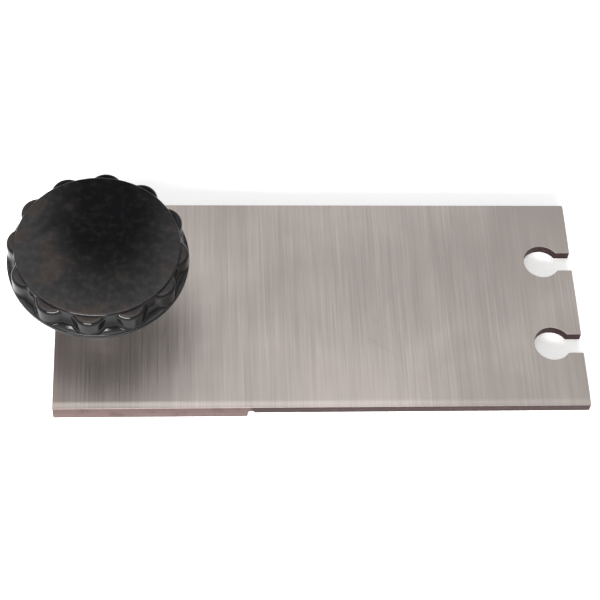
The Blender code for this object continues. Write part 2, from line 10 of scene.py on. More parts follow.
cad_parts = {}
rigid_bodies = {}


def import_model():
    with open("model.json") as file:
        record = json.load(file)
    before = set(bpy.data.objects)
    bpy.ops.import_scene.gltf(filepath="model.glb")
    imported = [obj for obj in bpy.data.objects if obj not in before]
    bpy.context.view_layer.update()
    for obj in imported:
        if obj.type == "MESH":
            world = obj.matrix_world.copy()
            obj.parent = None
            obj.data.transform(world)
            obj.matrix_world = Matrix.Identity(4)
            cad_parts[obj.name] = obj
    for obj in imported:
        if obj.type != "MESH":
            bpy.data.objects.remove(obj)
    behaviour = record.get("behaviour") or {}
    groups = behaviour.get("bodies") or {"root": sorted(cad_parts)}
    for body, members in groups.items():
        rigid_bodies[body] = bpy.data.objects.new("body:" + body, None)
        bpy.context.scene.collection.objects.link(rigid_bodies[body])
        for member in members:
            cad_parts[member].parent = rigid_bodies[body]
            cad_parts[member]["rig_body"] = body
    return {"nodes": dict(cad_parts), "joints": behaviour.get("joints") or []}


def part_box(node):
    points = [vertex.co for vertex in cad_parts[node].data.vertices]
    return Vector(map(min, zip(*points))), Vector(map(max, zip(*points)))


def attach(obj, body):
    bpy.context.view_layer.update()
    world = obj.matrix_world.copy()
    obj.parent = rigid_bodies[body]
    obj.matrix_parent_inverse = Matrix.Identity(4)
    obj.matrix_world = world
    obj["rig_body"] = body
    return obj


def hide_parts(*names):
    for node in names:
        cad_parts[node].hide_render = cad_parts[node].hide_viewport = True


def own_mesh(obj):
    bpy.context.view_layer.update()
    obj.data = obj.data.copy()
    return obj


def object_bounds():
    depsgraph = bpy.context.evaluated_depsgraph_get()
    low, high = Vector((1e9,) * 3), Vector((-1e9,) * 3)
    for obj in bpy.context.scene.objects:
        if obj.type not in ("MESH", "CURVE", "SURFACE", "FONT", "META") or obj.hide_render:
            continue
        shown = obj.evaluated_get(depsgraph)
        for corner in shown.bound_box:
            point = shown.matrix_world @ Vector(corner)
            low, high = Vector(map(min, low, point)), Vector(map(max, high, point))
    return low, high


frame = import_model()
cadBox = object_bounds()
mm = 0.001
turn = 2 * math.pi
print("frame loaded")


# ---- shader maths and nodes

class Wire:
    # an output socket; arithmetic on it adds Math nodes
    def __init__(self, paint, socket):
        self.paint = paint
        self.socket = socket

    def maths(self, operation, first, second):
        return self.paint.node("Math", {"operation": operation}, {0: first, 1: second})

    def __add__(self, other):
        return self.maths("ADD", self, other)

    def __radd__(self, other):
        return self.maths("ADD", other, self)

    def __sub__(self, other):
        return self.maths("SUBTRACT", self, other)

    def __rsub__(self, other):
        return self.maths("SUBTRACT", other, self)

    def __mul__(self, other):
        return self.maths("MULTIPLY", self, other)

    def __rmul__(self, other):
        return self.maths("MULTIPLY", other, self)

    def __neg__(self):
        return self.maths("MULTIPLY", self, -1.0)


class Paint:
    # one material and the nodes that make it
    def __init__(self, name):
        self.material = bpy.data.materials.new(name)
        self.material.use_nodes = True
        self.tree = self.material.node_tree
        self.shader = self.tree.nodes["Principled BSDF"]

    def node(self, kind, settings, sockets, output=0):
        made = self.tree.nodes.new("ShaderNode" + kind)
        for name, value in settings.items():
            setattr(made, name, value)
        for name, value in sockets.items():
            self.feed(made.inputs[name], value)
        return Wire(self, made.outputs[output])

    def feed(self, socket, value):
        if isinstance(value, Wire):
            self.tree.links.new(value.socket, socket)
        elif socket.type == "RGBA":
            socket.default_value = (*value, 1.0)
        else:
            socket.default_value = value

    def place(self):
        return self.node("TexCoord", {}, {}, "Object")

    def facing(self):
        return self.node("TexCoord", {}, {}, "Normal")

    def part(self, vector, axis):
        return self.node("SeparateXYZ", {}, {0: vector}, axis)

    def stretch(self, vector, factors):
        return self.node("VectorMath", {"operation": "MULTIPLY"}, {0: vector, 1: factors})

    def spin(self, vector, angles):
        return self.node("Mapping", {}, {"Vector": vector, "Rotation": angles})

    def grain(self, vector, scale, detail=2.0, warp=0.0):
        return self.node("TexNoise", {}, {"Vector": vector, "Scale": scale, "Detail": detail,
                                          "Distortion": warp}, "Fac")

    def cells(self, vector, scale, feature="F1"):
        return self.node("TexVoronoi", {"feature": feature}, {"Vector": vector, "Scale": scale},
                         "Distance")

    def band(self, value, low, high):
        # 0 below low and 1 above high, with a soft change between
        return self.node("MapRange", {"interpolation_type": "SMOOTHSTEP"},
                         {"Value": value, "From Min": low, "From Max": high})

    def mix(self, share, first, second):
        return self.node("Mix", {"data_type": "RGBA"}, {0: share, 6: first, 7: second}, 2)

    def bump(self, height, distance):
        return self.node("Bump", {}, {"Distance": distance, "Height": height}, "Normal")

    def finish(self, **sockets):
        for name, value in sockets.items():
            label = "".join(" " + letter if letter.isupper() else letter for letter in name)
            self.feed(self.shader.inputs[label.strip().title()], value)
        return self.material


def scratches(paint, place, angle, density, keep):
    # thin straight marks at one angle, with most of each line worn away
    lines = paint.spin(place, (0.0, 0.0, angle))
    lines = paint.stretch(lines, (density, density * 0.035, density))
    edge = paint.cells(lines, 1.0, "DISTANCE_TO_EDGE")
    mark = 1 - paint.band(edge, 0.0, 0.018)
    patch = paint.band(paint.grain(place, 45.0, 1.0), keep, keep + 0.06)
    return mark * patch


# ---- finishes

plateLook = dict(
    darkSteel=(0.56, 0.502, 0.468),
    lightSteel=(0.775, 0.697, 0.652),
    scratch=(0.82, 0.75, 0.71),
    sheen=0.41,          # roughness of the brushed face
    brushDepth=0.018 * mm,
    rollWidth=3.2 * mm,  # where the face rolls off towards its front edge
    rollDrop=0.22 * mm,
    towardKeyholes=(30 * mm, 100 * mm),  # the face is darker towards the keyholes
    warm=(0.60, 0.49, 0.46),      # tint of the strip along the left edge
    warmWidth=7.0 * mm,
)


def brushedFace(left, front):
    look = plateLook
    paint = Paint("brushed_steel")
    place = paint.place()
    hair = paint.grain(paint.stretch(place, (1.0, 0.012, 1.0)), 2600.0, 2.0)
    streak = paint.grain(paint.stretch(place, (1.0, 0.03, 1.0)), 420.0, 3.0)
    broad = paint.grain(paint.stretch(place, (1.0, 0.12, 1.0)), 55.0, 3.0)
    cloud = paint.grain(place, 17.0, 4.0, 0.4)
    marks = scratches(paint, place, 0.35, 60.0, 0.60) + scratches(paint, place, -0.9, 42.0, 0.63)
    # the brushed tone is darker towards the keyholes
    towardKeyholes = paint.band(paint.part(place, "X"), *look["towardKeyholes"])
    tone = 0.28 * hair + 0.14 * streak + 0.10 * broad + 0.48 * cloud - 0.16 * towardKeyholes
    colour = paint.mix(paint.band(tone, 0.30, 0.70), look["darkSteel"], look["lightSteel"])
    colour = paint.mix(0.15 * marks, colour, look["scratch"])
    warm = paint.band(paint.part(place, "X"), left + look["warmWidth"], left)
    colour = paint.mix(0.6 * warm, colour, look["warm"])
    rough = look["sheen"] + 0.12 * (hair - 0.5) + 0.10 * (cloud - 0.5) - 0.04 * marks
    roll = paint.band(paint.part(place, "Y"), front, front + look["rollWidth"])
    height = look["brushDepth"] * (hair + 0.12 * streak - 0.12 * marks) + look["rollDrop"] * roll
    return paint.finish(baseColor=colour, metallic=1.0, roughness=rough,
                        normal=paint.bump(height, 1.0))


edgeLook = dict(
    thick=(0.082, 0.050, 0.046),
    pale=(0.135, 0.095, 0.088),
    thin=(0.026, 0.011, 0.011),
    stain=(0.050, 0.026, 0.024),
)


def sawnEdge(shoulder):
    # end grain of the saw: upright marks, brown, paler towards the bottom of the thick part, with the thin
    # part's edge darker
    look = edgeLook
    paint = Paint("sawn_edge")
    place = paint.place()
    across = paint.part(place, "X") + paint.part(place, "Y")
    height = paint.part(place, "Z")
    marks = paint.grain(paint.stretch(place, (1.0, 1.0, 0.05)), 1500.0, 2.0)
    spots = paint.grain(place, 260.0, 3.0)
    beyond = paint.band(paint.part(place, "X"), shoulder, shoulder + 2 * mm)
    low = paint.band(height, 5.5 * mm, 0.5 * mm)
    colour = paint.mix(beyond, look["thick"], look["thin"])
    colour = paint.mix(0.35 * low * (1 - beyond), colour, look["pale"])
    colour = paint.mix(0.5 * paint.band(spots + 0.3 * marks, 0.66, 0.90), colour, look["stain"])
    wave = paint.node("Math", {"operation": "SINE"}, {0: across * 5200.0})
    return paint.finish(baseColor=colour, metallic=0.75, roughness=0.42 + 0.2 * spots,
                        normal=paint.bump(marks + 0.2 * wave, 0.03 * mm))


def brokenEdge():
    # the narrow filed break round the face: a painted highlight where it faces the front, and painted dark
    # shade where it faces the other ways
    paint = Paint("filed_edge")
    place = paint.place()
    nicks = paint.grain(place, 900.0, 3.0)
    dull = paint.grain(place, 60.0, 2.0)
    # mask of the break that faces the front, where the highlight is painted
    front = paint.band(-paint.part(paint.facing(), "Y"), 0.15, 0.5)
    paintedHighlight = paint.mix(paint.band(dull, 0.42, 0.62), (0.55, 0.525, 0.50), (0.33, 0.285, 0.27))
    # painted shade on the break that faces away from the front, painted highlight on the break that faces
    # the front
    colour = paint.mix(front, (0.035, 0.020, 0.020), paintedHighlight)
    return paint.finish(baseColor=colour, metallic=1.0, roughness=0.26 + 0.2 * nicks,
                        normal=paint.bump(nicks, 0.03 * mm))


def milledFace():
    # underside: cutter passes across the plate, with stains
    paint = Paint("milled_steel")
    place = paint.place()
    across = paint.part(place, "X")
    passes = paint.node("Math", {"operation": "SINE"}, {0: across * 9000.0})
    hair = paint.grain(paint.stretch(place, (1.0, 0.02, 1.0)), 1800.0, 2.0)
    stain = paint.grain(place, 30.0, 4.0, 0.6)
    colour = paint.mix(paint.band(stain, 0.45, 0.72), (0.50, 0.48, 0.46), (0.24, 0.17, 0.14))
    rough = 0.38 + 0.14 * hair + 0.12 * stain
    return paint.finish(baseColor=colour, metallic=1.0, roughness=rough,
                        normal=paint.bump(hair + 0.35 * passes, 0.016 * mm))


knobLook = dict(
    black=(0.0020, 0.0020, 0.0024),
    hazeAndReflectionTone=(0.026, 0.0248, 0.0248),
    brown=(0.034, 0.024, 0.019),
    squeeze=(1.25, 0.8, 0.0),    # shape of the part of the disc that stays deep black
    darkSpot=(4.0 * mm, 11.0 * mm, 0.0),
    darkReach=(11.0 * mm, 38.0 * mm),
    gloss=0.11,
    density=1.22,        # refractive index, low so that the white room doesn't grey the black
)


def blackMoulding():
    # glossy black; its top is painted deep black towards the back and lighter towards the front and rim as a
    # painted reflection, mottled by a haze
    look = knobLook
    paint = Paint("black_moulding")
    place = paint.place()
    up = paint.band(paint.part(paint.facing(), "Z"), 0.6, 0.98)
    flat = paint.stretch(place, look["squeeze"])
    away = paint.node("VectorMath", {"operation": "DISTANCE"}, {0: flat, 1: look["darkSpot"]}, "Value")
    cloud = paint.grain(place, 90.0, 4.0, 0.4)
    mottle = paint.grain(place, 420.0, 3.0, 0.3)
    speck = paint.grain(place, 1500.0, 2.0)
    # painted reflection: the top grows lighter with distance from the deep black spot towards the back,
    # broken up by a mottled haze
    reflectionAndHaze = paint.band(away + 14.0 * mm * (cloud - 0.5), *look["darkReach"])
    reflectionAndHaze = up * reflectionAndHaze * (0.45 + mottle)
    colour = paint.mix(reflectionAndHaze, look["black"], look["hazeAndReflectionTone"])
    colour = paint.mix(0.5 * reflectionAndHaze * paint.band(cloud, 0.52, 0.64), colour, look["brown"])
    colour = paint.mix(0.018 * up * paint.band(mottle + 0.2 * speck, 0.55, 0.85), colour, (0.20, 0.20, 0.20))
    rough = look["gloss"] + up * (0.08 * mottle + 0.10 * reflectionAndHaze)
    paint.feed(paint.shader.inputs["IOR"], look["density"])
    return paint.finish(baseColor=colour, roughness=rough,
                        normal=paint.bump(mottle + 0.3 * speck, 0.003 * mm))


def turnedSteel():
    # plated steel with fine lathe lines; the object's own Z is the lathe's axis
    paint = Paint("turned_steel")
    place = paint.place()
    flat = paint.stretch(place, (1.0, 1.0, 0.0))
    radius = paint.node("VectorMath", {"operation": "LENGTH"}, {0: flat}, "Value")
    track = paint.node("CombineXYZ", {}, {"X": radius, "Z": paint.part(place, "Z")})
    lines = paint.grain(track, 3800.0, 2.0)
    cloud = paint.grain(place, 190.0, 3.0)
    colour = paint.mix(cloud, (0.20, 0.195, 0.185), (0.34, 0.33, 0.315))
    stain = paint.band(paint.grain(place, 420.0, 3.0), 0.60, 0.76)
    colour = paint.mix(0.5 * stain, colour, (0.10, 0.075, 0.06))
    return paint.finish(baseColor=colour, metallic=1.0, anisotropic=0.45,
                        roughness=0.26 + 0.14 * lines + 0.10 * cloud,
                        normal=paint.bump(lines, 0.010 * mm))


def blackedSteel():
    # oxide-blacked steel rubbed bright on its corners
    paint = Paint("blacked_steel")
    place = paint.place()
    corner = paint.node("NewGeometry", {}, {}, "Pointiness")
    cloud = paint.grain(place, 500.0, 3.0)
    bare = paint.band(corner + 0.05 * (cloud - 0.5), 0.53, 0.60)
    colour = paint.mix(cloud, (0.022, 0.022, 0.026), (0.045, 0.043, 0.045))
    colour = paint.mix(0.7 * bare, colour, (0.45, 0.44, 0.43))
    return paint.finish(baseColor=colour, metallic=0.9, roughness=0.34 + 0.22 * cloud,
                        normal=paint.bump(cloud, 0.012 * mm))


def springWire():
    # drawn wire, with its ground ends bright
    paint = Paint("spring_wire")
    place = paint.place()
    ends = paint.node("Math", {"operation": "ABSOLUTE"}, {0: paint.part(paint.facing(), "Z")})
    ground = paint.band(ends, 0.97, 0.995)
    cloud = paint.grain(place, 260.0, 3.0)
    drawn = paint.grain(paint.stretch(place, (0.3, 0.3, 1.0)), 5200.0, 2.0)
    colour = paint.mix(cloud, (0.08, 0.08, 0.088), (0.16, 0.155, 0.15))
    colour = paint.mix(0.6 * ground, colour, (0.60, 0.59, 0.57))
    return paint.finish(baseColor=colour, metallic=1.0, roughness=0.22 + 0.18 * cloud + 0.1 * drawn,
                        normal=paint.bump(drawn, 0.008 * mm))


def cutBrass():
    paint = Paint("cut_brass")
    place = paint.place()
    lines = paint.grain(paint.stretch(place, (0.2, 0.2, 1.0)), 3600.0, 2.0)
    cloud = paint.grain(place, 220.0, 4.0, 0.4)
    colour = paint.mix(paint.band(cloud, 0.35, 0.68), (0.66, 0.47, 0.20), (0.30, 0.18, 0.07))
    return paint.finish(baseColor=colour, metallic=1.0, roughness=0.24 + 0.22 * cloud,
                        normal=paint.bump(lines + 0.4 * cloud, 0.012 * mm))


def wornLeather():
    paint = Paint("worn_leather")
    place = paint.place()
    pebble = paint.cells(place, 1500.0)
    crease = paint.cells(place, 620.0, "DISTANCE_TO_EDGE")
    cloud = paint.grain(place, 140.0, 4.0, 0.5)
    colour = paint.mix(paint.band(cloud, 0.35, 0.68), (0.23, 0.115, 0.055), (0.10, 0.045, 0.022))
    colour = paint.mix(0.6 * (1 - paint.band(crease, 0.0, 0.12)), colour, (0.05, 0.022, 0.012))
    height = paint.band(crease, 0.0, 0.25) - 0.4 * pebble
    return paint.finish(baseColor=colour, roughness=0.62 + 0.2 * cloud,
                        normal=paint.bump(height, 0.06 * mm))


def paleFloor():
    paint = Paint("pale_floor")
    tone = paint.grain(paint.place(), 6.0, 2.0)
    colour = paint.mix(tone, (0.90, 0.90, 0.90), (0.93, 0.93, 0.925))
    glow = dict(emissionColor=(1.0, 1.0, 1.0), emissionStrength=studio["floorGlow"])
    return paint.finish(baseColor=colour, roughness=0.85, **glow)


# ---- mesh tools

def skinRings(name, rings, closed=False):
    # joins rings of points with quads; a ring of one point closes an end
    bm = bmesh.new()
    made = [[bm.verts.new(point) for point in ring] for ring in rings]
    pairs = list(zip(made, made[1:]))
    if closed:
        pairs.append((made[-1], made[0]))
    for first, second in pairs:
        count = max(len(first), len(second))
        for index in range(count):
            after = (index + 1) % count
            corners = [first[index % len(first)], first[after % len(first)],
                       second[after % len(second)], second[index % len(second)]]
            corners = list(dict.fromkeys(corners))
            if len(corners) > 2:
                bm.faces.new(corners)
    bmesh.ops.remove_doubles(bm, verts=bm.verts, dist=0.0001 * mm)
    bmesh.ops.recalc_face_normals(bm, faces=bm.faces)
    return meshFrom(name, bm)


def meshFrom(name, bm):
    mesh = bpy.data.meshes.new(name)
    bm.to_mesh(mesh)
    bm.free()
    return mesh


def polarRing(steps, place):
    # place gives (radius, height) at an angle; a ring on the axis is one point
    radius, height = place(0.0)
    if abs(radius) < 0.0001 * mm:
        return [(0.0, 0.0, height)]
    ring = []
    for index in range(steps):
        angle = turn * index / steps
        radius, height = place(angle)
        ring.append((radius * math.cos(angle), radius * math.sin(angle), height))
    return ring


def softened(corners, closed=False, steps=4):
    # corners are (radius, height, rounding); each is swapped for a short curve
    count = len(corners)
    points = []
    for index, (x, z, rounding) in enumerate(corners):
        here = Vector((x, z))
        ends = not closed and index in (0, count - 1)
        if rounding == 0 or ends:
            points.append((x, z))
            continue
        before = Vector(corners[index - 1][:2]) - here
        after = Vector(corners[(index + 1) % count][:2]) - here
        reach = min(rounding, before.length * 0.48, after.length * 0.48)
        start = here + before.normalized() * reach
        finish = here + after.normalized() * reach
        for step in range(steps + 1):
            share = step / steps
            along = start.lerp(here, share).lerp(here.lerp(finish, share), share)
            points.append((along.x, along.y))
    return points


def turnedMesh(name, corners, steps=96, closed=False):
    profile = softened(corners, closed)
    rings = [polarRing(steps, lambda angle, point=point: point) for point in profile]
    return skinRings(name, rings, closed)


def threadDepth(angle, height, pitch, depth):
    # how far the thread's surface lies below its crest, for a right-hand thread
    phase = (height / pitch - angle / turn) % 1.0
    slope = abs(2 * phase - 1)
    return depth * min(1.0, max(0.0, (slope - 0.12) / 0.72))


def applied(piece, *tools):
    # swaps the piece's mesh for the one its modifiers make, and drops the tools
    bpy.context.view_layer.update()
    graph = bpy.context.evaluated_depsgraph_get()
    made = bpy.data.meshes.new_from_object(piece.evaluated_get(graph))
    name = piece.data.name
    piece.modifiers.clear()
    piece.data = made
    made.name = name
    for tool in tools:
        bpy.data.objects.remove(tool, do_unlink=True)


def linked(name, mesh, place=(0.0, 0.0, 0.0)):
    piece = bpy.data.objects.new(name, mesh)
    piece.location = place
    bpy.context.scene.collection.objects.link(piece)
    return piece


def cut(piece, tool):
    step = piece.modifiers.new(tool.name, "BOOLEAN")
    step.operation = "DIFFERENCE"
    step.solver = "EXACT"
    step.object = tool


def fit(piece, node, materials, sharp=35):
    # the piece stands for the node, on the node's own body, with the given materials
    mesh = piece.data
    mesh.materials.clear()
    for material in materials:
        mesh.materials.append(material)
    mesh.shade_smooth()
    mesh.set_sharp_from_angle(angle=math.radians(sharp))
    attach(piece, frame["nodes"][node]["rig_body"])
    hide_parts(node)
    return piece


def boxOf(node):
    low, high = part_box(node)
    return low, high, (low + high) / 2


finishes = dict(turned=turnedSteel(), blacked=blackedSteel())  # shared by several pieces
studMiddle = boxOf("clamp_stud")[2]
axis = Vector((studMiddle.x, studMiddle.y, 0.0))
clear = 0.3 * mm  # the gap between neighbouring pieces


# ---- guide plate

plate = dict(
    landLength=68.3 * mm,       # thick part under the knob
    thinThickness=3.65 * mm,
    edgeBreak=0.38 * mm,
    shoulderRound=0.6 * mm,     # lower corner of the step
    reliefRadius=1.15 * mm,     # groove at the root of the step
    keyholeSpacing=35.4 * mm,
    keyholeInset=10.95 * mm,
    keyholeRadius=6.7 * mm,
    neckWidth=7.55 * mm,
    neckFillet=0.8 * mm,
    padClearance=0.7 * mm,      # recess beyond the pad
    cornerRound=0.5 * mm,
    levelFace=0.9,              # a face whose normal is this upright is top or underside
)
topSlot, sideSlot, underSlot, edgeSlot = range(4)


def arc(x, y, radius, start, end, steps):
    points = []
    for index in range(steps + 1):
        angle = start + (end - start) * index / steps
        points.append((x + radius * math.cos(angle), y + radius * math.sin(angle)))
    return points


def keyhole(right, y):
    # from the open end's lower neck edge, round the hole and back out
    x = right - plate["keyholeInset"]
    halfNeck = plate["neckWidth"] / 2
    radius, fillet = plate["keyholeRadius"], plate["neckFillet"]
    reach, side = radius + fillet, halfNeck + fillet
    filletX = x + math.sqrt(reach ** 2 - side ** 2)
    lean = math.acos((filletX - x) / reach)
    points = [(right, y - halfNeck)]
    points += arc(filletX, y - side, fillet, turn / 4, turn / 2 - lean, 8)
    points += arc(x, y, radius, turn - lean, lean, 80)[1:-1]
    points += arc(filletX, y + side, fillet, turn / 2 + lean, turn * 3 / 4, 8)
    points.append((right, y + halfNeck))
    return points


def plateOutline(low, high):
    corner = plate["cornerRound"]
    points = arc(low.x + corner, low.y + corner, corner, turn / 2, turn * 3 / 4, 5)
    points += arc(high.x - corner, low.y + corner, corner, turn * 3 / 4, turn, 5)
    for side in (-1, 1):
        points += keyhole(high.x, side * plate["keyholeSpacing"] / 2)
    points += arc(high.x - corner, high.y - corner, corner, 0.0, turn / 4, 5)
    points += arc(low.x + corner, high.y - corner, corner, turn / 4, turn / 2, 5)
    return points


def prism(name, points, bottom, top):
    bm = bmesh.new()
    base = bm.faces.new([bm.verts.new((x, y, bottom)) for x, y in points])
    raised = bmesh.ops.extrude_face_region(bm, geom=[base])["geom"]
    moved = [item for item in raised if isinstance(item, bmesh.types.BMVert)]
    bmesh.ops.translate(bm, verts=moved, vec=(0.0, 0.0, top - bottom))
    bmesh.ops.recalc_face_normals(bm, faces=bm.faces)
    return meshFrom(name, bm)


def drum(name, radius, bottom, top, x, y, steps=72, topRadius=None):
    bm = bmesh.new()
    place = Matrix.Translation((x, y, (bottom + top) / 2))
    upper = radius if topRadius is None else topRadius
    bmesh.ops.create_cone(bm, cap_ends=True, segments=steps, radius1=radius, radius2=upper,
                          depth=top - bottom, matrix=place)
    return linked(name, meshFrom(name, bm))


def stepTool(low, high):
    # what is milled away below the thin part, grooved at its root
    past = 2 * mm
    root = low.x + plate["landLength"]
    under = high.z - plate["thinThickness"]
    corner, relief = plate["shoulderRound"], plate["reliefRadius"]
    section = [(high.x + past, low.z - past), (high.x + past, under)]
    section += arc(root + relief, under, relief, 0.0, turn / 2, 20)
    section += arc(root - corner, low.z + corner, corner, 0.0, -turn / 4, 8)
    section.append((root - corner, low.z - past))
    mesh = prism("step_tool", section, low.y - past, high.y + past)
    mesh.transform(Matrix(((1, 0, 0, 0), (0, 0, 1, 0), (0, 1, 0, 0), (0, 0, 0, 1))))
    mesh.flip_normals()
    return linked("step_tool", mesh)


def makePlate():
    low, high, _ = boxOf("guide_plate")
    padLow, padHigh, _ = boxOf("swivel_pad")
    nutLow, nutHigh, _ = boxOf("flange_nut")
    piece = linked("plate", prism("plate", plateOutline(low, high), low.z, high.z))
    recess = (padHigh.x - padLow.x) / 2 + plate["padClearance"]
    tools = [stepTool(low, high),
             drum("recess_tool", recess, low.z - mm, nutLow.z, axis.x, axis.y),
             drum("bore_tool", spigotRadius + clear, nutLow.z - mm, high.z + mm, axis.x, axis.y)]
    for tool in tools:
        cut(piece, tool)
    applied(piece, *tools)
    edge = piece.modifiers.new("edge_break", "BEVEL")
    edge.width = plate["edgeBreak"]
    edge.segments = 3
    edge.limit_method = "ANGLE"
    edge.angle_limit = math.radians(50)
    edge.material = edgeSlot
    edge.use_clamp_overlap = True
    applied(piece)
    shoulder = low.x + plate["landLength"]
    for face in piece.data.polygons:
        if face.material_index == edgeSlot:
            continue
        if abs(face.normal.z) < plate["levelFace"]:
            face.material_index = sideSlot
        else:
            face.material_index = topSlot if face.normal.z > 0 else underSlot
    chosen = [face.material_index for face in piece.data.polygons]
    fit(piece, "guide_plate", [brushedFace(low.x, low.y), sawnEdge(shoulder), milledFace(),
                                brokenEdge()], 12)
    piece.data.polygons.foreach_set("material_index", chosen)


# ---- flanged nut and its screws

flangedNut = dict(
    spigotWall=1.7 * mm,
    screws=4,
    screwHole=1.8 * mm,
    screwLand=0.95 * mm,        # metal between the pad's recess and a screw's hole
    headRadius=2.7 * mm,
    headHeight=1.5 * mm,
    socketFlat=1.0 * mm,
    socketDepth=1.1 * mm,
)
studRadius = 5.0 * mm
boreRadius = studRadius + clear
spigotRadius = boreRadius + flangedNut["spigotWall"]


def screwPlaces():
    padLow, padHigh, _ = boxOf("swivel_pad")
    recess = (padHigh.x - padLow.x) / 2 + plate["padClearance"]
    reach = recess + flangedNut["screwLand"] + flangedNut["screwHole"]
    places = []
    for index in range(flangedNut["screws"]):
        angle = turn * (index + 0.5) / flangedNut["screws"]
        places.append((reach * math.cos(angle), reach * math.sin(angle)))
    return places


def makeFlangedNut():
    low, high, _ = boxOf("flange_nut")
    radius = (high.x - low.x) / 2
    seat = boxOf("guide_plate")[1].z + clear
    mouth = boreRadius + 0.5 * mm
    corners = [(mouth, high.z, 0), (radius, high.z, 0.45 * mm), (radius, seat, 0.15 * mm),
               (spigotRadius, seat, 0.2 * mm), (spigotRadius, low.z, 0.3 * mm),
               (boreRadius, low.z, 0.1 * mm), (boreRadius, high.z - 0.5 * mm, 0)]
    piece = linked("flanged_nut", turnedMesh("flanged_nut", corners, 120, True), axis)
    tools = []
    sink = flangedNut["headHeight"] + clear
    slope = (flangedNut["headRadius"] + clear - flangedNut["screwHole"]) / sink
    for number, (x, y) in enumerate(screwPlaces(), start=1):
        x, y = x + axis.x, y + axis.y
        hole = flangedNut["screwHole"]
        tools.append(drum(f"shaft_tool_{number}", hole, seat - mm, high.z + mm, x, y, 48))
        tools.append(drum(f"sink_tool_{number}", hole, high.z - sink, high.z + mm, x, y, 48,
                          hole + slope * (sink + mm)))
    for tool in tools:
        cut(piece, tool)
    applied(piece, *tools)
    fit(piece, "flange_nut", [finishes["blacked"]], 30)


screw = dict(
    shaft=1.5 * mm,
    pitch=0.5 * mm,
    threadDepth=0.25 * mm,
    threadRows=60,
    drillPoint=0.35 * mm,       # cone at the bottom of the socket
)


def makeFlangeScrews():
    low, high, _ = boxOf("flange_screw_1")
    head, height = flangedNut["headRadius"], flangedNut["headHeight"]
    socket, depth = flangedNut["socketFlat"], flangedNut["socketDepth"]
    shaft, length = screw["shaft"], high.z - low.z

    def hexagon(angle):
        within = (angle + turn / 12) % (turn / 6) - turn / 12
        return socket / math.cos(within)

    def ridge(angle, down):
        return shaft - threadDepth(angle, -down, screw["pitch"], screw["threadDepth"])

    places = [lambda angle: (0.0, -depth - screw["drillPoint"]),
              lambda angle: (socket * 0.8, -depth),
              lambda angle: (hexagon(angle), -depth),
              lambda angle: (hexagon(angle), -0.18 * mm),
              lambda angle: (max(hexagon(angle), socket * 1.16), 0.0),
              lambda angle: (head - 0.15 * mm, 0.0),
              lambda angle: (head, -0.08 * mm),
              lambda angle: (head, -0.22 * mm),
              lambda angle: (shaft, -height)]
    rows = screw["threadRows"]
    for index in range(rows + 1):
        down = height + 0.2 * mm + (length - height - 0.8 * mm) * index / rows
        places.append(lambda angle, down=down: (ridge(angle, down), -down))
    places.append(lambda angle: (shaft - 0.5 * mm, -length))
    places.append(lambda angle: (0.0, -length))
    rings = [polarRing(48, place) for place in places]
    for number, (x, y) in enumerate(screwPlaces(), start=1):
        name = f"countersunk_screw_{number}"
        piece = linked(name, skinRings(name, rings), (axis.x + x, axis.y + y, high.z))
        piece.rotation_euler.z = 0.7 * number * number
        fit(piece, f"flange_screw_{number}", [finishes["blacked"]], 30)


# ---- pad, facing and clip

pad = dict(
    bore=3.3 * mm,
    pocket=5.5 * mm,            # holds the clip
    ringDepth=0.12 * mm,        # turned line round the top
    ringShares=(0.62, 0.64, 0.68, 0.70),
    waistDepth=0.15 * mm,       # turned line round the side
    waistHeights=(0.9 * mm, 0.8 * mm, 0.7 * mm),
)


def makePad():
    low, high, _ = boxOf("swivel_pad")
    radius = (high.x - low.x) / 2
    bore, pocket = pad["bore"], pad["pocket"]
    roof = boxOf("pad_clip")[1].z + clear
    ring = [radius * share for share in pad["ringShares"]]
    floor = high.z - pad["ringDepth"]
    upper, middle, lower = [low.z + height for height in pad["waistHeights"]]
    corners = [(bore, high.z, 0.2 * mm), (ring[0], high.z, 0), (ring[1], floor, 0),
               (ring[2], floor, 0), (ring[3], high.z, 0),
               (radius, high.z, 0.5 * mm), (radius, upper, 0),
               (radius - pad["waistDepth"], middle, 0), (radius, lower, 0),
               (radius, low.z, 0.5 * mm), (pocket, low.z, 0.15 * mm), (pocket, roof, 0.1 * mm),
               (bore, roof, 0.15 * mm)]
    piece = linked("pad", turnedMesh("pad", corners, 120, True), axis)
    fit(piece, "swivel_pad", [finishes["turned"]], 30)


facing = dict(
    upperShares=(0.2, 0.4, 0.6, 0.8),
    lowerShares=(0.9, 0.8, 0.7, 0.6, 0.5, 0.4, 0.3, 0.2, 0.1),
    dent=0.04 * mm,
    broadDents=700.0,
    fineDents=1900.0,
)


def makeFacing():
    # a punched leather disc: soft rim, and a face pressed uneven by use
    low, high, _ = boxOf("pad_facing")
    radius, thick = (high.x - low.x) / 2, high.z - low.z
    corners = [(0.0, high.z, 0)]
    corners += [(radius * share, high.z, 0) for share in facing["upperShares"]]
    corners += [(radius, high.z, thick * 0.2), (radius, low.z, thick * 0.45)]
    corners += [(radius * share, low.z, 0) for share in facing["lowerShares"]]
    corners.append((0.0, low.z, 0))
    mesh = turnedMesh("leather_facing", corners, 120)
    for vertex in mesh.vertices:
        if vertex.co.z < high.z - 0.1 * mm:
            broad = noise.noise(vertex.co * facing["broadDents"])
            fine = noise.noise(vertex.co * facing["fineDents"])
            vertex.co.z += facing["dent"] * (1 + (broad + 0.5 * fine))
    piece = linked("leather_facing", mesh, axis)
    fit(piece, "pad_facing", [wornLeather()], 50)


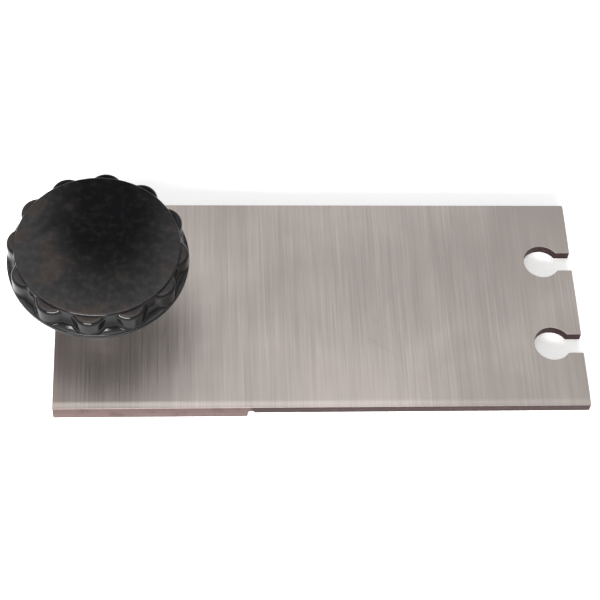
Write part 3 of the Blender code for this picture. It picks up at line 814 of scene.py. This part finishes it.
def openRing(name, inner, outer, low, high, opening, lean, rounding, steps, lift=0.0):
    # a flat ring with a gap; lean slants the gap's faces and lift raises one end
    corners = [(outer, high, rounding), (outer, low, rounding), (inner, low, rounding),
               (inner, high, rounding)]
    section = softened(corners, True, 3)
    middle = (low + high) / 2
    rings = []
    for index in range(steps + 1):
        share = index / steps
        ring = []
        for radius, height in section:
            angle = opening / 2 + (turn - opening) * share + (height - middle) * lean / radius
            rise = lift * (share - 0.5)
            ring.append((radius * math.cos(angle), radius * math.sin(angle), height + rise))
        rings.append(ring)
    return skinRings(name, capped(rings))


def capped(rings):
    # a point at the middle of each end ring closes the ends
    ends = [[tuple(sum((Vector(point) for point in ring), Vector()) / len(ring))]
            for ring in (rings[0], rings[-1])]
    return [ends[0]] + rings + [ends[1]]


clip = dict(
    inner=2.7 * mm,
    outer=5.2 * mm,
    opening=70,                 # degrees
    rounding=0.12 * mm,
)


def makeClip():
    low, high, _ = boxOf("pad_clip")
    mesh = openRing("retaining_clip", clip["inner"], clip["outer"], low.z, high.z,
                    math.radians(clip["opening"]), 0.0, clip["rounding"], 96)
    piece = linked("retaining_clip", mesh, axis)
    fit(piece, "pad_clip", [finishes["blacked"]], 35)


# ---- stud, spring, nut and washers

stud = dict(
    pitch=1.5 * mm,
    depth=0.82 * mm,
    tipRadius=2.4 * mm,
    neckRadius=3.0 * mm,
    topBreak=0.8 * mm,
    rowsPerPitch=12,
)


def makeStud():
    low, high, _ = boxOf("clamp_stud")
    neckTop = boxOf("swivel_pad")[1].z + clear
    clipTop = boxOf("pad_clip")[1].z + clear
    length = high.z - neckTop
    rows = round(length / stud["pitch"] * stud["rowsPerPitch"])

    def threaded(height):
        lead = (height - neckTop) + studRadius - 0.9 * mm
        run = (high.z - height) + studRadius - stud["topBreak"]
        envelope = min(studRadius, lead, run)
        return lambda angle: (min(envelope, studRadius - threadDepth(
            angle, height, stud["pitch"], stud["depth"])), height)

    tip, neck = stud["tipRadius"], stud["neckRadius"]
    profile = [(0.0, low.z), (tip - 0.2 * mm, low.z), (tip, low.z + 0.2 * mm), (tip, clipTop),
               (neck - 0.1 * mm, clipTop), (neck, clipTop + 0.1 * mm), (neck, neckTop)]
    rings = [polarRing(72, lambda angle, point=point: point) for point in profile]
    for row in range(rows + 1):
        rings.append(polarRing(72, threaded(neckTop + length * row / rows)))
    rings.append([(0.0, 0.0, high.z)])
    piece = linked("threaded_stud", skinRings("threaded_stud", rings), axis)
    fit(piece, "clamp_stud", [finishes["turned"]], 40)


spring = dict(
    wire=1.3 * mm,
    slack=1.4 * mm,             # between the stud and the coils
    workingTurns=3.5,
    endTurns=0.75,
    endSpace=0.03 * mm,
    pointsPerTurn=60,
)


def springHeight(at, turns, low, high):
    climb = spring["wire"] + spring["endSpace"]
    rise = climb * spring["endTurns"]
    if at < spring["endTurns"]:
        return low + climb * at
    if at > turns - spring["endTurns"]:
        return high - climb * (turns - at)
    return low + rise + (at - spring["endTurns"]) / spring["workingTurns"] * (high - low - 2 * rise)


def makeSpring():
    low, high, _ = boxOf("stud_spring")
    wire = spring["wire"] / 2
    radius = studRadius + spring["slack"] + wire
    turns = spring["workingTurns"] + 2 * spring["endTurns"]
    count = round(turns * spring["pointsPerTurn"])
    middles = []
    for index in range(count + 1):
        at = turns * index / count
        height = springHeight(at, turns, low.z + wire * 0.7, high.z - wire * 0.7)
        middles.append(Vector((radius * math.cos(turn * at), radius * math.sin(turn * at), height)))
    rings = []
    for index, middle in enumerate(middles):
        outward = Vector((middle.x, middle.y, 0.0)).normalized()
        along = middles[min(index + 1, count)] - middles[max(index - 1, 0)]
        upward = along.cross(outward).normalized()
        ring = []
        for step in range(20):
            angle = turn * step / 20
            point = middle + wire * (math.cos(angle) * outward + math.sin(angle) * upward)
            point.z = min(max(point.z, low.z), high.z)
            ring.append(tuple(point))
        rings.append(ring)
    piece = linked("stud_spring_wire", skinRings("stud_spring_wire", capped(rings)), axis)
    fit(piece, "stud_spring", [springWire()], 40)
    travel = frame["joints"][0]["range_m"][1]
    height = high.z - low.z
    (height - travel) / height
    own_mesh(piece)


def makeSpringSeat():
    low, high, _ = boxOf("spring_seat")
    radius = (high.x - low.x) / 2
    corners = [(boreRadius, high.z, 0.15 * mm), (radius, high.z, 0.35 * mm),
               (radius, low.z, 0.2 * mm), (boreRadius, low.z, 0.1 * mm)]
    piece = linked("spring_washer_seat", turnedMesh("spring_washer_seat", corners, 120, True), axis)
    fit(piece, "spring_seat", [finishes["turned"]], 30)


def makeJamNut():
    # each face has a 30 degree chamfer that runs out on the flats
    low, high, _ = boxOf("jam_nut")
    flat = (high.y - low.y) / 2
    corner = flat / math.cos(turn / 12)
    steps, rows, slope = 144, 8, math.tan(math.radians(30))

    def side(angle, height):
        within = (angle + turn / 12) % (turn / 6) - turn / 12
        drop = min(height - low.z, high.z - height)
        return min(flat / math.cos(within), flat * 0.985 + drop / slope)

    drops = [(corner - flat * 0.985) * slope * index / rows for index in range(rows + 1)]
    heights = [low.z + drop for drop in drops] + [high.z - drop for drop in reversed(drops)]
    mouth = boreRadius + 0.5 * mm
    places = [lambda angle: (boreRadius, high.z - 0.5 * mm), lambda angle: (boreRadius, low.z + 0.5 * mm),
              lambda angle: (mouth, low.z)]
    for height in heights:
        places.append(lambda angle, height=height: (side(angle, height), height))
    places.append(lambda angle: (mouth, high.z))
    rings = [polarRing(steps, place) for place in places]
    piece = linked("hex_jam_nut", skinRings("hex_jam_nut", rings, True), axis)
    fit(piece, "jam_nut", [finishes["turned"]], 25)


splitWasher = dict(
    split=1.0 * mm,
    splitInset=1.5 * mm,        # where the split is measured, in from the rim
    slant=0.53,                 # of the split's faces
    lift=0.08 * mm,             # one end stands this far above the other
    rounding=0.12 * mm,
)


def makeLockWasher():
    low, high, _ = boxOf("lock_washer")
    outer = (high.x - low.x) / 2
    opening = splitWasher["split"] / (outer - splitWasher["splitInset"])
    lift = splitWasher["lift"]
    mesh = openRing("split_washer", boreRadius, outer, low.z + lift / 2, high.z - lift / 2, opening,
                    splitWasher["slant"], splitWasher["rounding"], 120, lift)
    mesh.transform(Matrix.Rotation(-turn / 4, 4, "Z"))
    piece = linked("split_washer", mesh, axis)
    fit(piece, "lock_washer", [finishes["blacked"]], 35)


# ---- knob and its insert

knob = dict(
    hubLength=5.0 * mm,
    hubWall=3.2 * mm,
    discSetback=2.95 * mm,      # disc's rim inside the skirt's
    discRise=1.15 * mm,         # disc above the lobes
    discEdge=0.85 * mm,
    skirtHeight=2.0 * mm,
    skirtEdge=0.5 * mm,
    flarePower=3.8,             # how late the flutes sweep out to the skirt
    lobes=12,
    lobeSetback=0.15 * mm,      # lobe's side inside the skirt's
    fluteWidth=1.2 * mm,
    lobeRound=1.6 * mm,
    lobeTurn=-5.1,              # degrees that the lobes are turned from the front
    blend=1.2 * mm,             # softness where a lobe meets a flute
    wall=3.2 * mm,
    roof=5.0 * mm,
    stepsPerLobe=44,
)


def softMax(first, second, blend):
    overlap = max(blend - abs(first - second), 0.0) / blend
    return max(first, second) + overlap * overlap * blend / 4


def makeKnob():
    low, high, _ = boxOf("knob_body")
    insertLow, insertHigh, _ = boxOf("knob_insert")
    rim = (high.y - low.y) / 2
    disc = rim - knob["discSetback"]
    reach = rim - knob["lobeSetback"]
    flare = rim - knob["skirtEdge"] - disc
    spread = math.sin(turn / 2 / knob["lobes"])
    lobe = (reach * spread - knob["fluteWidth"] / 2) / (1 + spread)
    centre = reach - lobe
    skirtLow = low.z + knob["hubLength"]
    skirtTop = skirtLow + knob["skirtHeight"]
    lobeTop = high.z - knob["discRise"]

    def wall(height):
        share = (height - skirtTop) / (lobeTop - skirtTop)
        return disc + flare * (1 - share) ** knob["flarePower"]

    def lobeSide(angle, size):
        # distance from the knob's axis to the lobe's round side, or none between lobes
        first = -turn / 4 + math.radians(knob["lobeTurn"])
        pitch = turn / knob["lobes"]
        within = (angle - first + pitch / 2) % pitch - pitch / 2
        aside = centre * math.sin(within)
        if abs(aside) >= size:
            return 0.0
        return centre * math.cos(within) + math.sqrt(size ** 2 - aside ** 2)

    def lobed(size, height):
        base = wall(height)
        return lambda angle: (min(softMax(base, lobeSide(angle, size), knob["blend"]),
                                  max(base, reach)), height)

    edge = knob["discEdge"]
    places = [lambda angle: (0.0, high.z)]
    for share in (0.15, 0.3, 0.45, 0.6, 0.75, 0.9):
        places.append(lambda angle, share=share: (disc * share, high.z))
    for step in range(7):
        tilt = turn / 4 * step / 6
        places.append(lambda angle, tilt=tilt: (disc - edge + edge * math.sin(tilt),
                                                high.z - edge + edge * math.cos(tilt)))
    places.append(lambda angle: (disc, lobeTop))
    rounding = knob["lobeRound"]
    for step in range(9):
        tilt = turn / 4 * step / 8
        size = lobe - rounding + rounding * math.sin(tilt)
        places.append(lobed(size, lobeTop - rounding * (1 - math.cos(tilt))))
    rows = 22
    for row in range(1, rows + 1):
        height = lobeTop - rounding - (lobeTop - rounding - skirtTop) * row / rows
        places.append(lobed(lobe, height))
    lip = knob["skirtEdge"]
    for level, start in ((skirtTop - lip, 0.0), (skirtLow + lip, turn / 4)):
        for step in range(7):
            tilt = start + turn / 4 * step / 6
            places.append(lambda angle, tilt=tilt, level=level: (rim - lip + lip * math.sin(tilt),
                                                                 level + lip * math.cos(tilt)))
    pocket = (insertHigh.x - insertLow.x) / 2 + clear
    hub = pocket + knob["hubWall"]
    web = high.z - knob["roof"]
    inside = [(rim - lip, skirtLow, 0), (rim - knob["wall"], skirtLow, 0.5 * mm),
              (disc - knob["wall"], web, 1.5 * mm), (hub, web, 1.2 * mm), (hub, low.z, 0.5 * mm),
              (pocket, low.z, 0.3 * mm), (pocket, insertHigh.z + clear, 0), (0.0, insertHigh.z + clear, 0)]
    for point in softened(inside, False, 6)[1:]:
        places.append(lambda angle, point=point: point)
    steps = knob["lobes"] * knob["stepsPerLobe"]
    rings = [polarRing(steps, place) for place in places]
    piece = linked("fluted_knob", skinRings("fluted_knob", rings), axis)
    fit(piece, "knob_body", [blackMoulding()], 40)


insert = dict(
    halfGroove=1.2 * mm,
    grooveDepth=0.8 * mm,
    roof=1.2 * mm,              # metal above the bore
    teeth=36,
    toothDepth=0.35 * mm,
    chamfer=0.6 * mm,
)


def makeInsert():
    # brass bush with straight knurling either side of its groove
    low, high, _ = boxOf("knob_insert")
    radius = (high.x - low.x) / 2
    middle, groove = (low.z + high.z) / 2, insert["halfGroove"]
    waist = radius - insert["grooveDepth"]
    roof = high.z - insert["roof"]
    teeth, chamfer = insert["teeth"], insert["chamfer"]

    def knurled(height):
        def place(angle):
            tooth = abs((angle * teeth / turn) % 1.0 * 2 - 1)
            return radius - insert["toothDepth"] * tooth, height
        return place

    plain = [(0.0, roof), (boreRadius, roof), (boreRadius, low.z + chamfer),
             (boreRadius + chamfer, low.z), (radius - chamfer, low.z)]
    places = [lambda angle, point=point: point for point in plain]
    places += [knurled(low.z + chamfer / 2), knurled(middle - groove)]
    places += [lambda angle: (waist, middle - groove), lambda angle: (waist, middle + groove)]
    places += [knurled(middle + groove), knurled(high.z - chamfer / 2)]
    places += [lambda angle: (radius - chamfer, high.z), lambda angle: (0.0, high.z)]
    rings = [polarRing(teeth * 6, place) for place in places]
    piece = linked("brass_insert", skinRings("brass_insert", rings), axis)
    fit(piece, "knob_insert", [cutBrass()], 30)


for make in (makePlate, makeFlangedNut, makeFlangeScrews, makePad, makeFacing, makeClip, makeStud,
             makeSpring, makeSpringSeat, makeJamNut, makeLockWasher, makeKnob, makeInsert):
    make()
    print(make.__name__, "done")


# ---- floor, light and camera

studio = dict(
    floorSize=6.0,
    floorGlow=0.30,             # the floor is a light table
    sky=((0.0, 0.85), (0.40, 0.72), (0.75, 0.46), (1.0, 0.42)),  # (height, brightness)
    front=dict(place=(-0.30, -1.20, 0.55), size=(0.9, 0.36), power=58.0),
    top=dict(place=(-0.15, -0.25, 1.4), size=(1.0, 1.0), power=5.0),
)


def makeFloor():
    bm = bmesh.new()
    bmesh.ops.create_grid(bm, x_segments=4, y_segments=4, size=studio["floorSize"] / 2)
    floor = linked("floor", meshFrom("floor", bm), (0.0, 0.0, cadBox[0].z - 0.02 * mm))
    floor.data.materials.append(paleFloor())


def makeWorld():
    # pale round the horizon, dimmer high up
    world = bpy.data.worlds.new("studio")
    bpy.context.scene.world = world
    world.use_nodes = True
    nodes, links = world.node_tree.nodes, world.node_tree.links
    place = nodes.new("ShaderNodeTexCoord")
    split = nodes.new("ShaderNodeSeparateXYZ")
    ramp = nodes.new("ShaderNodeValToRGB")
    while len(ramp.color_ramp.elements) < len(studio["sky"]):
        ramp.color_ramp.elements.new(1.0)
    for element, (position, tone) in zip(ramp.color_ramp.elements, studio["sky"]):
        element.position = position
        element.color = (tone, tone, tone, 1.0)
    links.new(place.outputs["Generated"], split.inputs[0])
    links.new(split.outputs["Z"], ramp.inputs[0])
    links.new(ramp.outputs[0], nodes["Background"].inputs["Color"])


def makeLight(name, settings):
    data = bpy.data.lights.new(name, "AREA")
    data.shape = "RECTANGLE"
    data.size, data.size_y = settings["size"]
    data.energy = settings["power"]
    light = bpy.data.objects.new(name, data)
    light.location = settings["place"]
    light.rotation_euler = (-light.location).to_track_quat("-Z", "Y").to_euler()
    bpy.context.scene.collection.objects.link(light)


view = dict(
    distance=0.6272,
    heading=7.98,               # degrees from square on, towards the keyholes
    elevation=57.93,
    roll=6.63,
    lens=103.13,
    aim=(0.00064, 0.00116),     # where the camera points on the plate's top face
)


def makeCamera():
    high = boxOf("guide_plate")[1]
    heading, elevation = math.radians(view["heading"]), math.radians(view["elevation"])
    target = Vector((*view["aim"], high.z))
    ahead = Vector((math.sin(heading) * math.cos(elevation),
                    math.cos(heading) * math.cos(elevation), -math.sin(elevation)))
    right = Vector((math.cos(heading), -math.sin(heading), 0.0))
    upward = right.cross(ahead)
    roll = math.radians(view["roll"])
    sideways = math.cos(roll) * right + math.sin(roll) * upward
    above = math.cos(roll) * upward - math.sin(roll) * right
    data = bpy.data.cameras.new("camera")
    data.lens = view["lens"]
    data.sensor_width = 36.0
    data.clip_start = 0.01
    camera = bpy.data.objects.new("camera", data)
    turned = Matrix((sideways, above, -ahead)).transposed().to_4x4()
    camera.matrix_world = Matrix.Translation(target - ahead * view["distance"]) @ turned
    bpy.context.scene.collection.objects.link(camera)
    bpy.context.scene.camera = camera


makeFloor()
makeWorld()
for side in ("front", "top"):
    makeLight(f"{side}_softbox", studio[side])
makeCamera()
bpy.context.scene.view_settings.view_transform = "Standard"
print("studio done")
